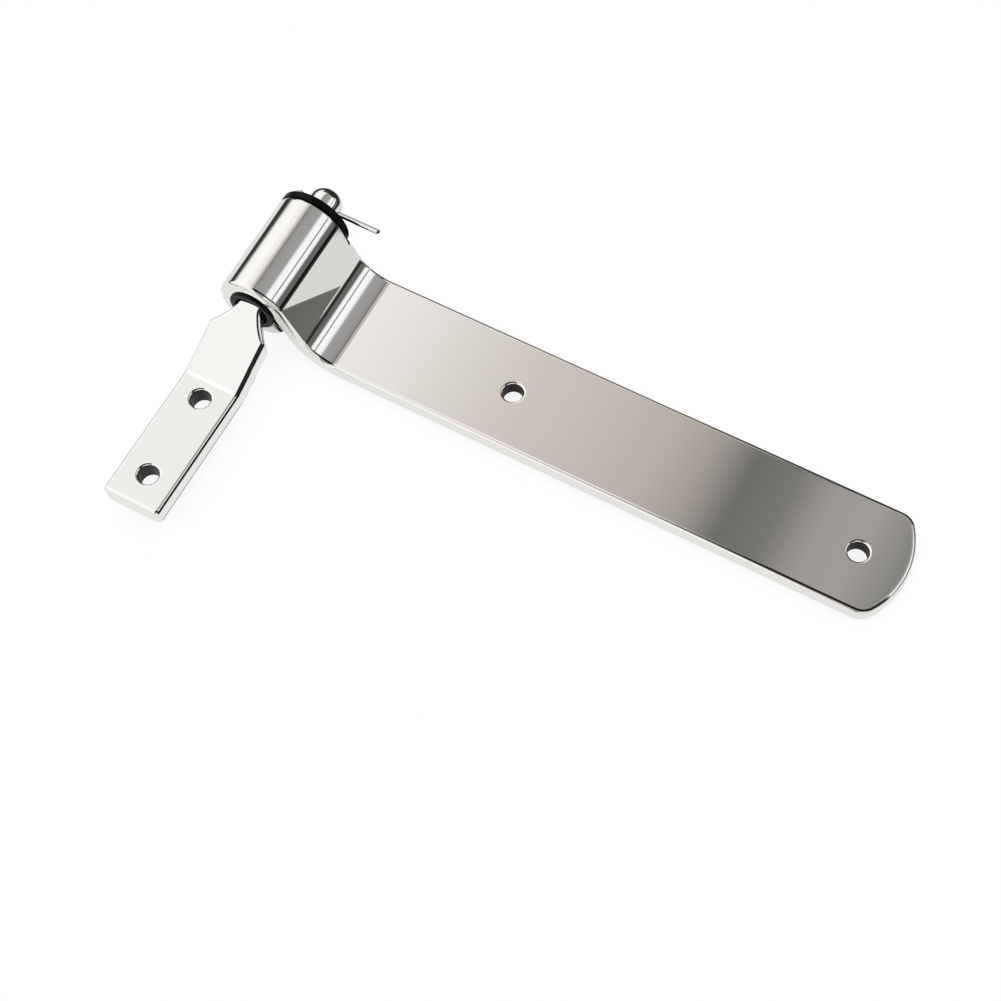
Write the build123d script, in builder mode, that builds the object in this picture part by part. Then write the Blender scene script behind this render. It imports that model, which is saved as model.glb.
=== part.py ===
from build123d import *

import os
from math import cos, degrees, radians, sin, tan, atan2

# Lift-off strap hinge: a cranked strap with a rolled eye that turns on the pin of a bent bracket.
# The frame lies on the strap's mounting face. X runs along the strap away from the eye, Y runs along
# the pin from the bracket to the pin's tip, and Z points out of the mounting face. The origin is the
# middle of the strap's two bolt holes on that face.

# Strap leaf: one flat bar, cranked up from the door and rolled into an eye.
strap_width = 40.0
strap_thickness = 6.0
strap_edge_round = 1.6
axis_height = 21.4
crank_angle = 64.0
crank_bend_radius = 13.0
roll_seam = 0.5
strap_end_radius = 31.5
strap_corner_radius = 6.0

# Bolt holes of the strap.
axis_to_first_hole = 89.0
strap_hole_pitch = 127.0
strap_end_margin = 17.5
strap_hole_dia = 7.0
hole_round = 0.9
hole_back_round = 0.3

# Pin of the bracket and what runs on it.
pin_dia = 12.5
pin_tip_round = 5.4
pin_root_depth = 1.5
pin_root_chamfer = 0.5
tip_above_cotter = 6.6

# Bracket: a flat bar bent up to the pin and narrowed to a neck inside the eye's mouth.
plate_width = 21.5
plate_thickness = 7.5
plate_length = 50.8
plate_bend_radius = 5.0
plate_edge_round = 1.3
plate_corner_radius = 1.6
bend_setback = 27.4
plate_hole_from_bend = 7.4
plate_hole_pitch = 32.0
plate_hole_dia = 7.0
neck_width = 9.2
neck_overlap = 1.6
shoulder_setback = 9.2
shoulder_sag = 0.7
frame_clearance = 0.8

# Plastic bush in the eye and plastic washer on its far end.
bush_wall = 0.8
bush_flange_dia = 17.0
bush_flange_thickness = 0.8
bush_edge_round = 0.4
bush_root_round = 1.2
bush_end_recess = 0.6
washer_thickness = 2.4
washer_edge_round = 0.5
running_clearance = 0.05
washer_clearance = 0.10

# Split pin through the pin's tip.
cotter_dia = 1.8
cotter_hole_clearance = 0.10
cotter_split = 0.12
cotter_leg_reach = 16.2
cotter_leg_step = 0.5
cotter_eye_radius = 1.7
cotter_eye_flare = 50.0
cotter_head_gap = 0.3
lift_play = 1.76

# Places worked out from the dimensions above.
axis_x = -(axis_to_first_hole + strap_hole_pitch / 2)
strap_end_x = strap_hole_pitch / 2 + strap_end_margin
eye_near = -strap_width / 2
eye_far = strap_width / 2
pin_radius = pin_dia / 2
bush_bore_radius = pin_radius + running_clearance
eye_bore_radius = bush_bore_radius + bush_wall
eye_radius = eye_bore_radius + strap_thickness
eye_line_radius = eye_bore_radius + strap_thickness / 2
washer_far = eye_far + washer_thickness
cotter_radius = (cotter_dia - cotter_split) / 2
cotter_y = washer_far + lift_play + cotter_eye_radius + cotter_radius
pin_tip_y = cotter_y + tip_above_cotter
pin_root_y = eye_near + pin_root_depth

pin_axis = Axis((axis_x, 0, axis_height), (0, 1, 0))
# Half sections of the turned pieces are drawn here: local x out from the pin's axis, local y along it.
pin_section = Plane(origin=(axis_x, 0, axis_height))


def rims(builder, radius):
    """Circular edges of the given radius: the mouths of a drilled hole."""
    circles = builder.edges().filter_by(GeomType.CIRCLE)
    return circles.filter_by(lambda edge: abs(edge.radius - radius) < 1e-6)


# Strap leaf. The bar's middle line runs in along the door, bends up the ramp and rolls over the pin.
crank = radians(crank_angle)
crank_line_radius = crank_bend_radius + strap_thickness / 2
ramp_top_x = axis_x + eye_line_radius * sin(crank)
ramp_top_z = axis_height + eye_line_radius * cos(crank)
ramp_rise = ramp_top_z - strap_thickness / 2
crank_tangent = crank_line_radius * tan(crank / 2)
crank_start_x = ramp_top_x + ramp_rise / tan(crank) + crank_tangent
ramp_length = ramp_rise / sin(crank) - crank_tangent
# The roll stops where its outer corner comes to the seam's width from the ramp's underside.
seam_cosine = (eye_bore_radius - roll_seam) / eye_radius
roll_sweep = 360 - degrees(atan2((1 - seam_cosine**2) ** 0.5, seam_cosine))

with BuildPart() as strap_leaf:
    with BuildSketch(Plane.XZ):
        with BuildLine():
            flat_run = Line((strap_end_x, strap_thickness / 2), (crank_start_x, strap_thickness / 2))
            crank_bend = JernArc(flat_run @ 1, flat_run % 1, crank_line_radius, -crank_angle)
            ramp = PolarLine(crank_bend @ 1, ramp_length, direction=crank_bend % 1)
            JernArc(ramp @ 1, ramp % 1, eye_line_radius, roll_sweep)
        trace(line_width=strap_thickness)
    extrude(amount=strap_width / 2, both=True)
    # The strap's free end is a shallow arc with rounded corners.
    with BuildSketch(Plane.XY) as end_outline:
        with BuildLine():
            arc_sag = strap_end_radius - (strap_end_radius**2 - (strap_width / 2) ** 2) ** 0.5
            corner_x = strap_end_x - arc_sag
            far_left = axis_x - 2 * eye_radius
            end_arc = ThreePointArc((corner_x, eye_near), (strap_end_x, 0), (corner_x, eye_far))
            Polyline(end_arc @ 1, (far_left, eye_far), (far_left, eye_near), end_arc @ 0)
        make_face()
        fillet(end_outline.vertices().group_by(Axis.X)[-1], strap_corner_radius)
    extrude(amount=axis_height + 2 * eye_radius, mode=Mode.INTERSECT)
    # Every edge of the bar is rounded, along both sides, round the end and across the roll's end.
    side_faces = strap_leaf.faces().filter_by(Axis.Y)
    side_edges = side_faces.edges().filter_by(Axis.Z, reverse=True)
    flat_faces = strap_leaf.faces().filter_by(Axis.Z)
    end_edges = flat_faces.edges().filter_by(lambda e: e.center().X > strap_end_x - 2 * strap_corner_radius)
    end_edges = end_edges.filter_by(Axis.Y, reverse=True)
    fillet(side_edges + end_edges.filter_by(GeomType.CIRCLE), strap_edge_round)
    # Bolt holes, rounded at both mouths.
    with Locations(Plane.XY.offset(strap_thickness)):
        with GridLocations(strap_hole_pitch, 0, 2, 1):
            Hole(strap_hole_dia / 2, depth=strap_thickness)
    fillet(rims(strap_leaf, strap_hole_dia / 2).group_by(Axis.Z)[-1], hole_round)
    fillet(rims(strap_leaf, strap_hole_dia / 2).group_by(Axis.Z)[0], hole_back_round)

strap_leaf.part.label = "strap_leaf"

# Bracket with its pin, in one piece. The plate lies level with the underside of the eye.
plate_bottom = axis_height - eye_radius - frame_clearance
plate_middle = plate_bottom + plate_thickness / 2
bend_y = eye_near - bend_setback
plate_end_y = bend_y - plate_length
tongue_angle = degrees(atan2(axis_height - plate_middle, bend_setback))
bend_line_radius = plate_bend_radius + plate_thickness / 2
bend_tangent = bend_line_radius * tan(radians(tongue_angle) / 2)
tongue_length = (bend_setback + pin_root_depth + neck_overlap) / cos(radians(tongue_angle)) - bend_tangent
shoulder_y = eye_near - shoulder_setback
flare_y = eye_near - bush_flange_thickness
first_plate_hole_y = bend_y - plate_hole_from_bend
flare_middle = ((neck_width + plate_width) / 4 - shoulder_sag, (flare_y + shoulder_y) / 2)

with BuildPart() as pintle:
    with BuildSketch(Plane.YZ.offset(axis_x)):
        with BuildLine():
            plate_run = Line((plate_end_y, plate_middle), (bend_y - bend_tangent, plate_middle))
            plate_bend = JernArc(plate_run @ 1, plate_run % 1, bend_line_radius, tongue_angle)
            PolarLine(plate_bend @ 1, tongue_length, direction=plate_bend % 1)
        trace(line_width=plate_thickness)
    extrude(amount=plate_width / 2, both=True)
    # Seen from above, the tongue keeps the plate's width and then narrows to the neck.
    with BuildSketch(Plane(origin=(axis_x, 0, 0))) as plate_outline:
        with BuildLine():
            end_line = Line((0, plate_end_y), (plate_width / 2, plate_end_y))
            side_line = Line(end_line @ 1, (plate_width / 2, shoulder_y))
            flare = ThreePointArc(side_line @ 1, flare_middle, (neck_width / 2, flare_y))
            neck_line = Line(flare @ 1, (neck_width / 2, 0))
            Line(neck_line @ 1, (0, 0))
            mirror(about=Plane.YZ)
        make_face()
        outline_corners = plate_outline.vertices().filter_by_position(Axis.Y, plate_end_y, shoulder_y)
        fillet(outline_corners.filter_by(lambda v: abs(v.X) > plate_width / 4), plate_corner_radius)
    extrude(amount=axis_height + eye_radius, mode=Mode.INTERSECT)
    fillet(pintle.edges().filter_by(Axis.Z, reverse=True), plate_edge_round)
    # The two bolt holes lie in line with the pin, rounded at both mouths.
    with BuildSketch(Plane.XY.offset(plate_bottom)):
        with Locations((axis_x, first_plate_hole_y), (axis_x, first_plate_hole_y - plate_hole_pitch)):
            Circle(plate_hole_dia / 2)
    extrude(amount=plate_thickness, mode=Mode.SUBTRACT)
    fillet(rims(pintle, plate_hole_dia / 2).group_by(Axis.Z)[-1], hole_round)
    fillet(rims(pintle, plate_hole_dia / 2).group_by(Axis.Z)[0], hole_back_round)
    # The pin stands on the neck, with a domed tip.
    with BuildSketch(pin_section) as pin_profile:
        with Locations((0, pin_root_y)):
            Rectangle(pin_radius, pin_tip_y - pin_root_y, align=Align.MIN)
        pin_corners = pin_profile.vertices().group_by(Axis.X)[-1].sort_by(Axis.Y)
        chamfer(pin_corners[0], pin_root_chamfer)
        fillet(pin_corners[-1], pin_tip_round)
    revolve(axis=pin_axis)
    with BuildSketch(Plane.YZ.offset(axis_x)):
        with Locations((cotter_y, axis_height)):
            Circle(cotter_dia / 2 + cotter_hole_clearance)
    extrude(amount=pin_dia, both=True, mode=Mode.SUBTRACT)

pintle.part.label = "pintle"

# Bush: a thin sleeve pressed into the eye, with a flange that flares into the eye's rounded mouth.
with BuildPart() as flanged_bush:
    with BuildSketch(pin_section) as bush_profile:
        with Locations((bush_bore_radius, eye_near - bush_flange_thickness)):
            Rectangle(bush_flange_dia / 2 - bush_bore_radius, bush_flange_thickness, align=Align.MIN)
        with Locations((bush_bore_radius, eye_near)):
            Rectangle(bush_wall, strap_width - bush_end_recess, align=Align.MIN)
        flange_root = bush_profile.vertices().group_by(Axis.X)[1].sort_by(Axis.Y)[0]
        fillet(flange_root, bush_root_round)
        flange_rim = bush_profile.vertices().group_by(Axis.X)[-1].sort_by(Axis.Y)[0]
        fillet(flange_rim, bush_edge_round)
    revolve(axis=pin_axis)

flanged_bush.part.label = "flanged_bush"

# Washer on the far end of the eye, as wide as the eye itself.
with BuildPart() as end_washer:
    with BuildSketch(pin_section) as washer_profile:
        with Locations((pin_radius + washer_clearance, eye_far)):
            Rectangle(eye_radius - pin_radius - washer_clearance, washer_thickness, align=Align.MIN)
        fillet(washer_profile.vertices().group_by(Axis.X)[-1], washer_edge_round)
    revolve(axis=pin_axis)

end_washer.part.label = "end_washer"

# Split pin: one half-round wire doubled back on itself, with an eye for a head and two straight legs.
cotter_leg_end = axis_x + pin_radius + cotter_leg_reach
cotter_head_x = axis_x - pin_radius - cotter_head_gap
flare_cosine = cos(radians(cotter_eye_flare))
cotter_throat_radius = (cotter_eye_radius * flare_cosine - cotter_split / 2) / (1 - flare_cosine)
upper_leg_y = cotter_y + cotter_split / 2
lower_leg_y = cotter_y - cotter_split / 2

with BuildPart() as split_pin:
    with BuildLine(Plane.XY.offset(axis_height)) as cotter_line:
        upper_leg = Line((cotter_leg_end, upper_leg_y), (cotter_head_x, upper_leg_y))
        upper_throat = JernArc(upper_leg @ 1, upper_leg % 1, cotter_throat_radius, -cotter_eye_flare)
        eye_turn = 180 + 2 * cotter_eye_flare
        cotter_eye = JernArc(upper_throat @ 1, upper_throat % 1, cotter_eye_radius, eye_turn)
        lower_throat = JernArc(cotter_eye @ 1, cotter_eye % 1, cotter_throat_radius, -cotter_eye_flare)
        Line(lower_throat @ 1, (cotter_leg_end - cotter_leg_step, lower_leg_y))
    leg_end = Plane(origin=(cotter_leg_end, upper_leg_y, axis_height), x_dir=(0, 1, 0), z_dir=(-1, 0, 0))
    with BuildSketch(leg_end):
        Circle(cotter_radius)
        Rectangle(cotter_radius, cotter_dia, align=(Align.MIN, Align.CENTER), mode=Mode.INTERSECT)
    sweep(path=cotter_line.line)

split_pin.part.label = "split_pin"

os.makedirs("parts", exist_ok=True)
for piece in (strap_leaf, flanged_bush, end_washer, pintle, split_pin):
    export_step(piece.part, f"parts/{piece.part.label}.step")
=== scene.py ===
import logging
from dataclasses import dataclass, field
from enum import Enum
from math import radians
from typing import Any, Dict, List, Sequence, Tuple

import bpy
from mathutils import Euler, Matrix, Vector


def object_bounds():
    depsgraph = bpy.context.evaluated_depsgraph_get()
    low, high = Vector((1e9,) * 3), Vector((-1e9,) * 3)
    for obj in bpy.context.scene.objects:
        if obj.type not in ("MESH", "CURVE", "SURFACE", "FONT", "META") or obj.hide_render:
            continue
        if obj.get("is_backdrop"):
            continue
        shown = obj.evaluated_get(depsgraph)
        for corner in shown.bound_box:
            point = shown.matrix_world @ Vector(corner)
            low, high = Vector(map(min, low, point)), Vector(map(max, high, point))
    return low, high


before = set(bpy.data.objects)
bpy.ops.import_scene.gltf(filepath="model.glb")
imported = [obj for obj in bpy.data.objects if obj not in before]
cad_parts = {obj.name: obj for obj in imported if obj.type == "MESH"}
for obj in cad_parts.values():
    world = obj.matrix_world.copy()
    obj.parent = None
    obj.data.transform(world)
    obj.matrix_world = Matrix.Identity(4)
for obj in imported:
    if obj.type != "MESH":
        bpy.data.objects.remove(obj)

Colour = Tuple[float, float, float]
Point = Tuple[float, float, float]
Span = Tuple[float, float]
Window = Tuple[float, float, float, float]
Socket = bpy.types.NodeSocket

LOG = logging.getLogger("hinge")
WHITE: Colour = (1.0, 1.0, 1.0)
RISE: Span = (0.0, 1.0)
FALL: Span = (1.0, 0.0)
HALF_TURN = 180.0


class Lay(Enum):
    """The way the polishing wheel ran over a piece: how far its fine lines are drawn out on each axis."""

    ALONG_STRAP = (18.0, 900.0, 900.0)
    ALONG_PLATE = (900.0, 18.0, 900.0)
    ALONG_WIRE = (60.0, 1400.0, 1400.0)


class Facing(Enum):
    """The way that a card in the studio faces, as a turn of a level card."""

    UP = (0.0, 0.0, 0.0)
    TO_BRACKET = (0.0, radians(-90.0), 0.0)
    TO_PIN_TIP = (radians(-90.0), 0.0, 0.0)


def in_radians(degrees: Sequence[float]) -> Tuple[float, ...]:
    """Turn a span or window of degrees into radians."""
    return tuple(radians(angle) for angle in degrees)


class Nodes:
    """A small helper that adds nodes to one material or world and joins them."""

    def __init__(self, tree: bpy.types.NodeTree) -> None:
        """Keep the tree and clear it.

        Args:
            tree: the node tree that is written.
        """
        self.tree = tree
        tree.nodes.clear()

    def add(self, kind: str, **settings: Any) -> bpy.types.Node:
        """Add a node and set its properties.

        Args:
            kind: the node's type name.
            settings: property names and values.

        Returns:
            The new node.
        """
        node = self.tree.nodes.new(kind)
        for name, value in settings.items():
            setattr(node, name, value)
        return node

    def join(self, source: Socket, target: Socket) -> None:
        """Link one socket to another."""
        self.tree.links.new(source, target)

    def feed(self, value: Any, target: Socket) -> None:
        """Give a socket what it reads.

        Args:
            value: another socket, a number or a colour.
            target: the socket that gets it.
        """
        if isinstance(value, Socket):
            self.join(value, target)
        elif isinstance(value, tuple):
            target.default_value = (*value, 1.0)
        else:
            target.default_value = value

    def maths(self, operation: str, *values: Any) -> Socket:
        """Add a Math node.

        Args:
            operation: the Math node's operation.
            values: numbers or sockets, in the order of the inputs.

        Returns:
            The result's socket.
        """
        node = self.add("ShaderNodeMath", operation=operation)
        for value, target in zip(values, node.inputs):
            self.feed(value, target)
        return node.outputs[0]

    def remap(self, value: Socket, old: Sequence[float], new: Span, smooth: bool = False) -> Socket:
        """Add a clamped Map Range node.

        Args:
            value: the socket that is read.
            old: the range that it has.
            new: the range that it gets.
            smooth: whether the ends are eased.

        Returns:
            The result's socket.
        """
        kind = "SMOOTHSTEP" if smooth else "LINEAR"
        node = self.add("ShaderNodeMapRange", interpolation_type=kind, clamp=True)
        self.join(value, node.inputs["Value"])
        for name, number in zip(("From Min", "From Max", "To Min", "To Max"), (*old, *new)):
            node.inputs[name].default_value = number
        return node.outputs["Result"]

    def window(self, rising: Socket, falling: Socket, limits: Sequence[float]) -> Socket:
        """Give a share that eases from 0 to 1 and back to 0.

        Args:
            rising: the socket that the rise reads.
            falling: the socket that the fall reads.
            limits: where the rise starts and ends, then where the fall starts and ends.

        Returns:
            The share's socket.
        """
        rise = self.remap(rising, limits[:2], RISE, True)
        return self.maths("MULTIPLY", rise, self.remap(falling, limits[2:], FALL, True))

    def noise(self, where: Socket, scale: float, detail: float) -> Socket:
        """Add a Noise texture.

        Args:
            where: the coordinates that it reads.
            scale: cells per metre of those coordinates.
            detail: the number of finer layers.

        Returns:
            The grey value's socket.
        """
        node = self.add("ShaderNodeTexNoise")
        self.join(where, node.inputs["Vector"])
        node.inputs["Scale"].default_value = scale
        node.inputs["Detail"].default_value = detail
        return node.outputs["Fac"]

    def ramp(self, value: Socket, stops: Sequence[Tuple[float, Colour]]) -> Socket:
        """Add a Color Ramp.

        Args:
            value: the socket that is read, from 0 to 1.
            stops: places from 0 to 1 and their colours, in order.

        Returns:
            The colour's socket.
        """
        node = self.add("ShaderNodeValToRGB")
        points = node.color_ramp.elements
        while len(points) < len(stops):
            points.new(0.5)
        for point, (place, colour) in zip(points, stops):
            point.position = place
            point.color = (*colour, 1.0)
        self.join(value, node.inputs["Fac"])
        return node.outputs["Color"]

    def blend(self, share: Socket, under: Any, over: Any) -> Socket:
        """Mix two colours.

        Args:
            share: how much of the second colour shows, from 0 to 1.
            under: the first colour or its socket.
            over: the second colour or its socket.

        Returns:
            The mixed colour's socket.
        """
        node = self.add("ShaderNodeMix", data_type="RGBA")
        ends = {each.identifier: each for each in (*node.inputs, *node.outputs)}
        self.join(share, ends["Factor_Float"])
        self.feed(under, ends["A_Color"])
        self.feed(over, ends["B_Color"])
        return ends["Result_Color"]

    def blend_value(self, share: Socket, under: Any, over: Any) -> Socket:
        """Mix two numbers.

        Args:
            share: how much of the second number counts, from 0 to 1.
            under: the first number or its socket.
            over: the second number or its socket.

        Returns:
            The mixed number's socket.
        """
        rest = self.maths("SUBTRACT", 1.0, share)
        return self.maths("ADD", self.maths("MULTIPLY", under, rest), self.maths("MULTIPLY", over, share))

    def blend_shader(self, share: Socket, under: Socket, over: Socket) -> Socket:
        """Mix two shaders.

        Args:
            share: how much of the second shader shows, from 0 to 1.
            under: the first shader's socket.
            over: the second shader's socket.

        Returns:
            The mixed shader's socket.
        """
        node = self.add("ShaderNodeMixShader")
        for source, target in zip((share, under, over), node.inputs):
            self.join(source, target)
        return node.outputs["Shader"]

    def bump(self, height: Socket, strength: float, distance_m: float) -> Socket:
        """Add a Bump node.

        Args:
            height: the grey value that is read as height.
            strength: how much of the bump shows.
            distance_m: the height of a full step, in metres.

        Returns:
            The normal's socket.
        """
        node = self.add("ShaderNodeBump")
        node.inputs["Strength"].default_value = strength
        node.inputs["Distance"].default_value = distance_m
        self.join(height, node.inputs["Height"])
        return node.outputs["Normal"]

    def axes(self, where: Socket) -> bpy.types.NodeOutputs:
        """Split a vector.

        Args:
            where: the vector's socket.

        Returns:
            The outputs X, Y and Z.
        """
        node = self.add("ShaderNodeSeparateXYZ")
        self.join(where, node.inputs["Vector"])
        return node.outputs


def start_material(name: str) -> Tuple[bpy.types.Material, Nodes, Socket]:
    """Start a material with an empty output.

    Args:
        name: the material's name.

    Returns:
        The material, its nodes and the socket that takes its shader.
    """
    made = bpy.data.materials.new(name)
    made.use_nodes = True
    nodes = Nodes(made.node_tree)
    return made, nodes, nodes.add("ShaderNodeOutputMaterial").inputs["Surface"]


@dataclass(frozen=True)
class PolishedSteel:
    """Mirror-polished stainless steel with fine polishing lines, and a painted shade, near black, on the walls
    of the drilled holes, which are also rougher.
    """

    name: str
    tint: Colour
    lay: Lay
    gloss: Span = (0.02, 0.034)
    line_shade: float = 0.992
    line_share: float = 0.55
    line_detail: float = 3.0
    cloud_cells: float = 55.0
    gloss_range: Span = (0.35, 0.65)
    shade_range: Span = (0.36, 0.62)
    waviness_m: float = 0.000006
    wave_cells: float = 24.0
    wave_strength: float = 0.35
    bores: Tuple[Span, ...] = ()
    bore_reach: Span = (0.00354, 0.00362)
    # Painted shade: the hole walls are tinted near black for the shade inside them.
    bore_painted_shade: Colour = (0.04, 0.039, 0.035)
    bore_roughness: float = 0.32

    def bore_mask(self, nodes: Nodes, place: Socket) -> Socket:
        """Find the walls of the drilled holes, where the shade is painted.

        Args:
            nodes: the material's nodes.
            place: the object coordinates.

        Returns:
            A socket that is 1 on the holes' walls and 0 elsewhere.
        """
        axes = nodes.axes(place)
        nearest: Any = 1.0
        for x, y in self.bores:
            across = nodes.maths("POWER", nodes.maths("SUBTRACT", axes["X"], x), 2.0)
            along = nodes.maths("POWER", nodes.maths("SUBTRACT", axes["Y"], y), 2.0)
            nearest = nodes.maths("MINIMUM", nearest, nodes.maths("SQRT", nodes.maths("ADD", across, along)))
        return nodes.remap(nearest, self.bore_reach, FALL)

    def material(self) -> bpy.types.Material:
        """Write the finish as nodes.

        Returns:
            The material.
        """
        made, nodes, surface = start_material(self.name)
        shader = nodes.add("ShaderNodeBsdfPrincipled")
        nodes.join(shader.outputs["BSDF"], surface)
        shader.inputs["Metallic"].default_value = 1.0
        place = nodes.add("ShaderNodeTexCoord").outputs["Object"]
        drawn = nodes.add("ShaderNodeMapping")
        drawn.inputs["Scale"].default_value = self.lay.value
        nodes.join(place, drawn.inputs["Vector"])
        lines = nodes.noise(drawn.outputs["Vector"], 1.0, self.line_detail)
        clouds = nodes.noise(place, self.cloud_cells, self.line_detail)
        clouds = nodes.maths("MULTIPLY", clouds, 1.0 - self.line_share)
        mixed = nodes.maths("MULTIPLY_ADD", lines, self.line_share, clouds)
        gloss = nodes.remap(mixed, self.gloss_range, self.gloss)
        darker = tuple(channel * self.line_shade for channel in self.tint)
        tint = nodes.ramp(mixed, list(zip(self.shade_range, (darker, self.tint))))
        # Painted shade on the hole walls: a near-black tint, plus more roughness.
        if self.bores:
            drilled = self.bore_mask(nodes, place)
            gloss = nodes.maths("MULTIPLY_ADD", drilled, self.bore_roughness, gloss)
            tint = nodes.blend(drilled, tint, self.bore_painted_shade)
        nodes.join(gloss, shader.inputs["Roughness"])
        nodes.join(tint, shader.inputs["Base Color"])
        swell = nodes.noise(place, self.wave_cells, 1.0)
        nodes.join(nodes.bump(swell, self.wave_strength, self.waviness_m), shader.inputs["Normal"])
        return made


@dataclass(frozen=True)
class MouldedPlastic:
    """Black moulded nylon with a fine matt grain."""

    name: str
    tint: Colour
    blush: float = 1.6
    blush_cells: float = 180.0
    blush_range: Span = (0.35, 0.7)
    grain_cells: float = 2600.0
    grain_range: Span = (0.3, 0.7)
    grain_detail: float = 2.0
    grain_height_m: float = 0.00004
    grain_strength: float = 0.25
    roughness: Span = (0.22, 0.34)
    sheen: float = 0.1

    def material(self) -> bpy.types.Material:
        """Write the finish as nodes.

        Returns:
            The material.
        """
        made, nodes, surface = start_material(self.name)
        shader = nodes.add("ShaderNodeBsdfPrincipled")
        nodes.join(shader.outputs["BSDF"], surface)
        place = nodes.add("ShaderNodeTexCoord").outputs["Object"]
        grain = nodes.noise(place, self.grain_cells, self.grain_detail)
        patches = nodes.noise(place, self.blush_cells, self.grain_detail)
        lighter = tuple(channel * self.blush for channel in self.tint)
        tint = nodes.ramp(patches, list(zip(self.blush_range, (self.tint, lighter))))
        nodes.join(tint, shader.inputs["Base Color"])
        nodes.join(nodes.remap(grain, self.grain_range, self.roughness), shader.inputs["Roughness"])
        shader.inputs["Specular IOR Level"].default_value = self.sheen
        nodes.join(nodes.bump(grain, self.grain_strength, self.grain_height_m), shader.inputs["Normal"])
        return made


def dress(node: str, made: bpy.types.Material) -> None:
    """Put a finish on a CAD node.

    Args:
        node: the node's name.
        made: the material that its slots get.
    """
    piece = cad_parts[node]
    for slot in piece.material_slots:
        slot.material = made
    LOG.info("%s: %s, %d faces", node, made.name, len(piece.data.polygons))


@dataclass
class StrapLeaf:
    """The cranked strap with its rolled eye."""

    node: str = "strap_leaf"
    steel: PolishedSteel = PolishedSteel(
        "strap_steel", (0.93, 0.92, 0.905), Lay.ALONG_STRAP, bores=((-0.0635, 0.0), (0.0635, 0.0)))

    def finish(self) -> None:
        """Dress the strap."""
        dress(self.node, self.steel.material())


@dataclass
class Bracket:
    """The bent bracket with its pin."""

    node: str = "pintle"
    steel: PolishedSteel = PolishedSteel(
        "bracket_steel", (0.94, 0.935, 0.925), Lay.ALONG_PLATE, bores=((-0.1525, -0.0548), (-0.1525, -0.0868)))

    def finish(self) -> None:
        """Dress the bracket."""
        dress(self.node, self.steel.material())


@dataclass
class PinFittings:
    """What runs on the pin: the flanged bush, the end washer and the split pin."""

    plastic_nodes: Tuple[str, ...] = ("flanged_bush", "end_washer")
    wire_node: str = "split_pin"
    plastic: MouldedPlastic = MouldedPlastic("black_nylon", (0.004, 0.004, 0.0045))
    wire: PolishedSteel = PolishedSteel("bright_wire", (0.9, 0.9, 0.9), Lay.ALONG_WIRE, (0.05, 0.08))

    def finish(self) -> None:
        """Dress the bush, the washer and the split pin."""
        black = self.plastic.material()
        for node in self.plastic_nodes:
            dress(node, black)
        dress(self.wire_node, self.wire.material())


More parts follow.
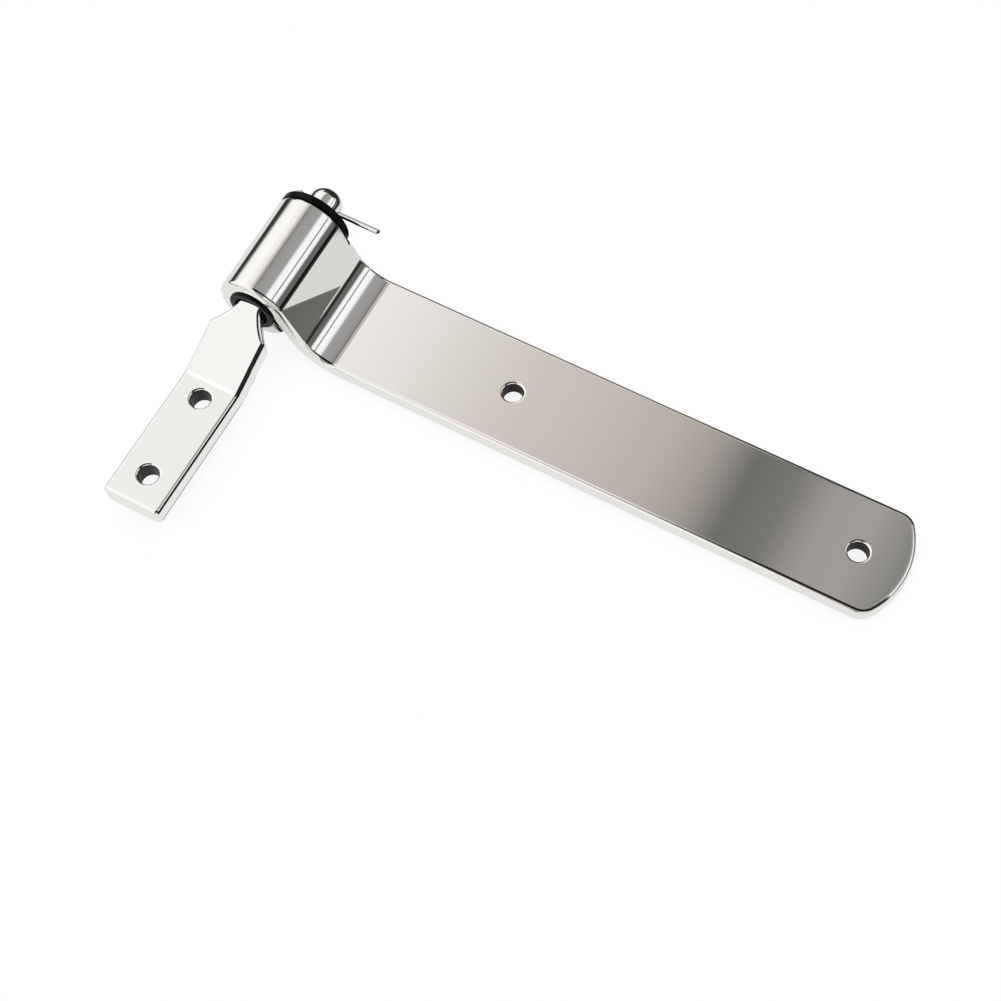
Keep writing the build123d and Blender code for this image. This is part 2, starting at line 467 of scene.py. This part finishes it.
@dataclass
class LightPanels:
    """The soft light panels round the table, written as the world.

    Turn is the angle from straight up to the strap's side, tilt the angle from straight up to the pin's tip,
    both in degrees.
    """

    front_panel: Colour = (0.975, 0.965, 0.955)
    front_tilt: Span = (10.0, -6.0)
    front_turn: Span = (-6.0, -12.0)
    glint_turn: Span = (-20.0, -18.5)
    glint_lead: float = 14.0
    side_panel: Colour = (0.74, 0.735, 0.725)
    side_turn: Span = (40.0, 55.0)
    bend_panel: Colour = (1.16, 1.15, 1.14)
    bend_tilt: Window = (14.0, 8.0, -7.0, -13.0)
    bend_turn: Span = (-19.0, -21.0)
    horizon: Span = (-0.005, 0.04)
    horizon_level: float = 0.12
    back_tilt: Span = (52.0, 60.0)
    back_width: Span = (0.4, 0.6)
    gap_tilt: Window = (-4.0, -10.0, -30.0, -40.0)
    gap_turn: Span = (-22.0, -6.0)
    gap_early: Span = (-10.0, -6.0)
    gap_lead: float = 20.0
    gloom_level: float = 0.04
    strips: List[Tuple[float, Colour]] = field(default_factory=lambda: [
        # Unlit edge on the left
        (-92.0, (0.3, 0.3, 0.3)),
        (-87.0, (0.035, 0.035, 0.035)),
        (-83.0, (0.08, 0.08, 0.079)),
        (-79.0, (0.3, 0.3, 0.295)),
        (-74.5, (0.74, 0.735, 0.72)),
        # Left panel
        (-69.0, (0.98, 0.975, 0.965)),
        (-43.0, (1.05, 1.045, 1.03)),
        (-29.0, (0.92, 0.915, 0.9)),
        # Fade along the strap
        (-23.6, (0.92, 0.905, 0.885)),
        (-20.6, (0.87, 0.84, 0.81)),
        (-16.4, (0.66, 0.62, 0.58)),
        (-12.0, (0.54, 0.50, 0.465)),
        (-10.2, (0.45, 0.415, 0.38)),
        # Dark band before the strap's free end
        (-8.5, (0.162, 0.163, 0.155)),
        (-7.3, (0.162, 0.163, 0.155)),
        (-6.0, (0.36, 0.34, 0.32)),
        (-4.4, (0.41, 0.385, 0.365)),
        # Grey ceiling
        (-3.4, (0.23, 0.228, 0.22)),
        (-0.5, (0.32, 0.32, 0.315)),
        (6.0, (0.34, 0.34, 0.335)),
        (28.5, (0.36, 0.36, 0.36)),
        (31.5, (0.5, 0.5, 0.5)),
        # Right panels, with a gap between them
        (36.0, (0.96, 0.96, 0.96)),
        (53.0, (1.05, 1.05, 1.05)),
        (54.6, (0.2, 0.2, 0.2)),
        (56.6, (0.2, 0.2, 0.2)),
        (58.4, (0.98, 0.98, 0.98)),
        (67.5, (1.0, 1.0, 1.0)),
        # Unlit edge on the right
        (73.0, (0.21, 0.21, 0.205)),
        (76.0, (0.135, 0.135, 0.13)),
        (88.5, (0.135, 0.135, 0.13)),
        (91.0, (0.04, 0.04, 0.04)),
    ])

    def colours(self, nodes: Nodes, turn: Socket, tilt: Socket) -> Socket:
        """Lay the panels over the strips that run along the pin.

        Args:
            nodes: the world's nodes.
            turn: the turn's socket, in radians.
            tilt: the tilt's socket, in radians.

        Returns:
            The colour's socket.
        """
        place = nodes.remap(turn, in_radians((-HALF_TURN, HALF_TURN)), RISE)
        stops = [((angle + HALF_TURN) / (2.0 * HALF_TURN), colour) for angle, colour in self.strips]
        glint = nodes.remap(turn, in_radians(self.glint_turn), (0.0, radians(self.glint_lead)))
        front = nodes.remap(nodes.maths("SUBTRACT", tilt, glint), in_radians(self.front_tilt), RISE, True)
        left = nodes.remap(turn, in_radians(self.front_turn), RISE, True)
        right = nodes.remap(turn, in_radians(self.side_turn), RISE, True)
        sky = nodes.blend(nodes.maths("MULTIPLY", front, left), nodes.ramp(place, stops), self.front_panel)
        sky = nodes.blend(nodes.maths("MULTIPLY", front, right), sky, self.side_panel)
        bend = nodes.maths("MULTIPLY", nodes.window(tilt, tilt, in_radians(self.bend_tilt)),
                           nodes.remap(turn, in_radians(self.bend_turn), RISE, True))
        return nodes.blend(bend, sky, self.bend_panel)

    def strength(self, nodes: Nodes, axes: bpy.types.NodeOutputs, turn: Socket, tilt: Socket) -> Socket:
        """Darken the horizon, the far side and the gap between ceiling and front panel.

        Args:
            nodes: the world's nodes.
            axes: the direction's X, Y and Z.
            turn: the turn's socket, in radians.
            tilt: the tilt's socket, in radians.

        Returns:
            The strength's socket.
        """
        rise = nodes.remap(axes["Z"], self.horizon, (self.horizon_level, 1.0), True)
        back = nodes.remap(tilt, in_radians(self.back_tilt), RISE, True)
        middle = nodes.remap(nodes.maths("ABSOLUTE", axes["X"]), self.back_width, FALL, True)
        early = nodes.remap(turn, in_radians(self.gap_early), (0.0, radians(self.gap_lead)))
        gap = nodes.window(nodes.maths("SUBTRACT", tilt, early), tilt, in_radians(self.gap_tilt))
        aside = nodes.remap(turn, in_radians(self.gap_turn), RISE)
        gloom = nodes.maths("MAXIMUM", nodes.maths("MULTIPLY", back, middle),
                            nodes.maths("MULTIPLY", gap, aside))
        return nodes.maths("MULTIPLY", rise, nodes.remap(gloom, RISE, (1.0, self.gloom_level)))

    def set_up(self) -> None:
        """Make the world: the panels for all light, plain white for the camera."""
        world = bpy.data.worlds.new("studio")
        bpy.context.scene.world = world
        world.use_nodes = True
        nodes = Nodes(world.node_tree)
        out = nodes.add("ShaderNodeOutputWorld")
        axes = nodes.axes(nodes.add("ShaderNodeTexCoord").outputs["Generated"])
        turn = nodes.maths("ARCTAN2", axes["X"], axes["Z"])
        tilt = nodes.maths("ARCTAN2", axes["Y"], axes["Z"])
        panel = nodes.add("ShaderNodeBackground")
        nodes.join(self.colours(nodes, turn, tilt), panel.inputs["Color"])
        nodes.join(self.strength(nodes, axes, turn, tilt), panel.inputs["Strength"])
        paper = nodes.add("ShaderNodeBackground")
        nodes.feed(WHITE, paper.inputs["Color"])
        seen = nodes.add("ShaderNodeLightPath").outputs["Is Camera Ray"]
        both = nodes.blend_shader(seen, panel.outputs["Background"], paper.outputs["Background"])
        nodes.join(both, out.inputs["Surface"])


@dataclass
class Table:
    """The pale table under the hinge, with the hinge's soft shadow painted in from ambient occlusion."""

    radius: float = 0.42
    edge_points: int = 96
    middle: Span = (-0.04, -0.03)
    drop: float = 0.0004
    paper_tint: Colour = (0.9, 0.9, 0.895)
    # Painted shadow: how far it reaches, where it opens and its darkest level.
    shadow_reach: float = 0.02
    shadow_open: Span = (0.1, 0.85)
    shadow_level: float = 0.88
    shadow_samples: int = 16
    # Painted reflection: the tint, levels and dark patch that only the steel's reflections see.
    mirror_tint: Colour = (1.0, 0.99, 0.972)
    mirror_fade: Span = (-0.01, 0.03)
    mirror_levels: Span = (0.84, 0.74)
    mirror_left: Span = (-0.165, -0.13)
    left_level: float = 0.8
    mirror_back: Span = (0.064, 0.085)
    corner_x: Span = (-0.02, 0.015)
    corner_y: Span = (0.018, 0.024)
    painted_dark_level: float = 0.05
    mirror_open: Span = (0.1, 0.65)
    mirror_shade: float = 0.3

    def mirrored(self, nodes: Nodes, near: Socket) -> Socket:
        """Give the table as polished steel shows it, as painted reflection levels: paler in front, dimmer
        behind, a painted dark patch far back, with painted shade near the hinge.

        Args:
            nodes: the table's nodes.
            near: how open the table is to the sky, from 0 to 1.

        Returns:
            The strength's socket.
        """
        axes = nodes.axes(nodes.add("ShaderNodeTexCoord").outputs["Object"])
        # Painted reflection levels, set by place on the table.
        level = nodes.remap(axes["Y"], self.mirror_fade, self.mirror_levels, True)
        left = nodes.remap(axes["X"], self.mirror_left, (self.left_level, 0.0), True)
        level = nodes.maths("MAXIMUM", level, left)
        # Painted dark patch far back and in one corner, seen only in reflections.
        behind = nodes.remap(axes["Y"], self.mirror_back, RISE, True)
        corner = nodes.maths("MULTIPLY", nodes.remap(axes["X"], self.corner_x, RISE, True),
                             nodes.remap(axes["Y"], self.corner_y, RISE, True))
        painted_dark = nodes.maths("MAXIMUM", behind, corner)
        level = nodes.maths("MULTIPLY", level, nodes.remap(painted_dark, RISE, (1.0, self.painted_dark_level)))
        # Painted shade near the hinge, from ambient occlusion.
        shade = nodes.remap(near, self.mirror_open, (self.mirror_shade, 1.0), True)
        return nodes.maths("MULTIPLY", level, shade)

    def material(self) -> bpy.types.Material:
        """Write the table's finish: white with a painted shadow where it is seen, painted reflection levels
        for glossy rays, plain paper for all other light.

        Returns:
            The material.
        """
        made, nodes, surface = start_material("white_table")
        # The hinge's soft shadow is painted in from ambient occlusion, not cast by a lamp.
        near = nodes.add("ShaderNodeAmbientOcclusion", samples=self.shadow_samples)
        near.inputs["Distance"].default_value = self.shadow_reach
        shade = nodes.remap(near.outputs["AO"], self.shadow_open, (self.shadow_level, 1.0), True)
        rays = nodes.add("ShaderNodeLightPath").outputs
        glow = nodes.add("ShaderNodeEmission")
        nodes.join(nodes.blend(rays["Is Glossy Ray"], WHITE, self.mirror_tint), glow.inputs["Color"])
        level = nodes.blend_value(rays["Is Glossy Ray"], shade, self.mirrored(nodes, near.outputs["AO"]))
        nodes.join(level, glow.inputs["Strength"])
        paper = nodes.add("ShaderNodeBsdfDiffuse")
        nodes.feed(self.paper_tint, paper.inputs["Color"])
        seen = nodes.maths("MAXIMUM", rays["Is Camera Ray"], rays["Is Glossy Ray"])
        seen = nodes.maths("MAXIMUM", seen, rays["Is Transmission Ray"])
        nodes.join(nodes.blend_shader(seen, paper.outputs["BSDF"], glow.outputs["Emission"]), surface)
        return made

    def set_up(self) -> None:
        """Lay the table under the hinge."""
        bpy.ops.object.select_all(action="DESELECT")
        low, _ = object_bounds()
        bpy.ops.mesh.primitive_circle_add(
            vertices=self.edge_points, radius=self.radius, fill_type="NGON",
            location=(*self.middle, low[2] - self.drop))
        top = bpy.context.object
        top.name = "table"
        bpy.ops.object.transform_apply(location=True, rotation=True, scale=True)
        top.data.materials.append(self.material())
        top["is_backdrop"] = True


@dataclass(frozen=True)
class Card:
    """A flat black card in the studio."""

    name: str
    facing: Facing
    middle: Point
    size: Span


@dataclass
class BlackCards:
    """One-sided black cards by the hinge that draw the dark lines on its edges. Only reflections see them."""

    tint: Colour = (0.015, 0.015, 0.015)
    cards: Tuple[Card, ...] = (
        Card("floor_card", Facing.UP, (-0.13985, -0.064, 0.0003), (0.0037, 0.062)),
        Card("plate_card", Facing.TO_BRACKET, (-0.136, -0.0735, 0.01425), (0.0105, 0.053)),
        Card("tongue_card", Facing.TO_BRACKET, (-0.136, -0.0420, 0.0150), (0.011, 0.010)),
        Card("neck_card", Facing.TO_BRACKET, (-0.136, -0.0305, 0.0192), (0.0125, 0.013)),
        Card("split_pin_card", Facing.UP, (-0.1345, 0.0265, 0.0178), (0.013, 0.008)),
        Card("leg_card", Facing.TO_PIN_TIP, (-0.1378, 0.0226, 0.0193), (0.0052, 0.0046)),
    )

    def material(self) -> bpy.types.Material:
        """Write the cards' finish: black from in front and clear from behind.

        Returns:
            The material.
        """
        made, nodes, surface = start_material("black_card")
        dark = nodes.add("ShaderNodeEmission")
        nodes.feed(self.tint, dark.inputs["Color"])
        clear = nodes.add("ShaderNodeBsdfTransparent")
        behind = nodes.add("ShaderNodeNewGeometry").outputs["Backfacing"]
        nodes.join(nodes.blend_shader(behind, dark.outputs["Emission"], clear.outputs["BSDF"]), surface)
        return made

    def set_up(self) -> None:
        """Stand the cards by the hinge."""
        made = self.material()
        for card in self.cards:
            bpy.ops.object.select_all(action="DESELECT")
            bpy.ops.mesh.primitive_plane_add(size=1.0, location=card.middle, rotation=card.facing.value)
            board = bpy.context.object
            board.name = card.name
            board.scale = (*card.size, 1.0)
            bpy.ops.object.transform_apply(location=True, rotation=True, scale=True)
            board.data.materials.append(made)
            board.visible_camera = False
            board.visible_diffuse = False
            board.visible_shadow = False
            board.visible_transmission = False
            board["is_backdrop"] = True


@dataclass
class Camera:
    """The camera, where the photograph was taken from."""

    place: Point = (0.106813, -0.278965, 0.587886)
    turn: Point = (26.1471, 1.9664, 28.6402)
    lens_mm: float = 70.85
    sensor_mm: float = 36.0
    nearest: float = 0.01

    def set_up(self) -> None:
        """Stand the camera."""
        lens = bpy.data.cameras.new("camera")
        lens.lens = self.lens_mm
        lens.sensor_width = self.sensor_mm
        lens.clip_start = self.nearest
        eye = bpy.data.objects.new("camera", lens)
        bpy.context.scene.collection.objects.link(eye)
        eye.location = self.place
        eye.rotation_euler = Euler(in_radians(self.turn), "XYZ")
        bpy.context.scene.camera = eye


def main() -> None:
    """Dress the hinge, noting each part's face count, and set up the studio."""
    logging.basicConfig(level=logging.INFO, format="%(name)s: %(message)s")
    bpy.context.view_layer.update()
    for group in (StrapLeaf(), Bracket(), PinFittings()):
        group.finish()
    bpy.context.scene.view_settings.view_transform = "Standard"
    for dressing in (LightPanels(), Table(), BlackCards(), Camera()):
        dressing.set_up()


if __name__ == "__main__":
    main()
